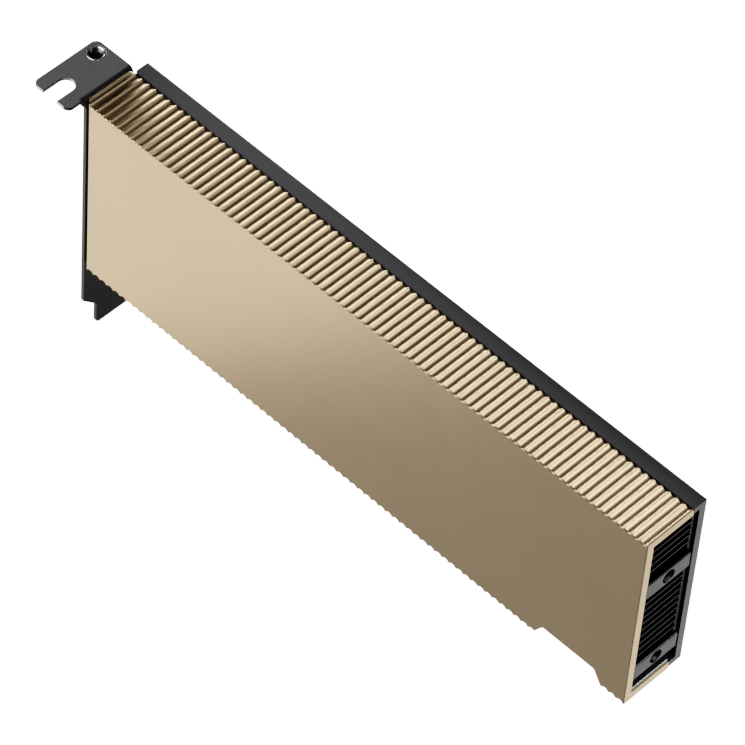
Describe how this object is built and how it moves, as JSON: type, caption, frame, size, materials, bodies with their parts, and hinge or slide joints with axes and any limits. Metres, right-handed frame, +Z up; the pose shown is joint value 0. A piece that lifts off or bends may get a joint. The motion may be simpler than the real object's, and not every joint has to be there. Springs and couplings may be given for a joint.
{
  "type": "passive accelerator card",
  "caption": "Low-profile single-slot passive accelerator card: fluted gold shell, black back cover, steel end bracket, edge connector and fins open at the tail.",
  "frame": {"origin": "on the bracket's outer face, in the middle of its width, level with the lower edge of the back cover; the card is held upright in its slot, and keeps that frame", "axes": "+X from the bracket to the tail, +Y from the fluted front face's side to the back cover, +Z up, away from the edge contacts"},
  "size_m": [0.1793, 0.0235, 0.0793],
  "materials": {
    "gold_aluminium": "satin gold-coloured anodising",
    "black_cover": "fine black powder coat, bare at the tail ends",
    "bracket_steel": "satin rolled steel, bright cut edges",
    "bare_aluminium": "milled, bare",
    "black_fins": "black anodised sheet",
    "black_screws": "black oxide",
    "board": "black solder mask on glass laminate",
    "contact_plating": "hard gold plating",
    "substrate": "green laminate",
    "silicon": "polished silicon",
    "chip_plastic": "moulded epoxy",
    "thermal_pad": "soft grey pad",
    "inductor_body": "pressed iron powder",
    "capacitor_body": "moulded ceramic",
    "copper": "bare copper",
    "standoff_brass": "turned brass",
    "insulator": "black film"
  },
  "bodies": {
    "root": {"front_shell": "gold_aluminium", "back_cover": "black_cover", "io_bracket": "bracket_steel", "tab_insert": "bracket_steel", "upper_bracket_block": "bare_aluminium", "lower_bracket_block": "bare_aluminium", "bracket_screws": "black_screws", "circuit_board": "board", "front_edge_contacts": "contact_plating", "back_edge_contacts": "contact_plating", "processor_substrate": "substrate", "package_stiffener": "bracket_steel", "processor_die": "silicon", "thermal_film": "thermal_pad", "front_memory_chips": "chip_plastic", "memory_pads": "thermal_pad", "back_memory_chips": "chip_plastic", "back_memory_pads": "thermal_pad", "power_stages": "chip_plastic", "power_stage_pads": "thermal_pad", "power_inductors": "inductor_body", "inductor_pads": "thermal_pad", "input_capacitors": "capacitor_body", "decoupling_capacitors": "capacitor_body", "control_chips": "chip_plastic", "heatsink_base": "copper", "lower_fin_stack": "black_fins", "upper_fin_stack": "black_fins", "tail_fin_base": "black_fins", "upper_tail_bar": "bare_aluminium", "lower_tail_bar": "bare_aluminium", "backing_plate": "bracket_steel", "heatsink_screws": "black_screws", "standoffs": "standoff_brass", "insulating_film": "insulator", "cover_screws": "black_screws"}
  },
  "joints": []
}
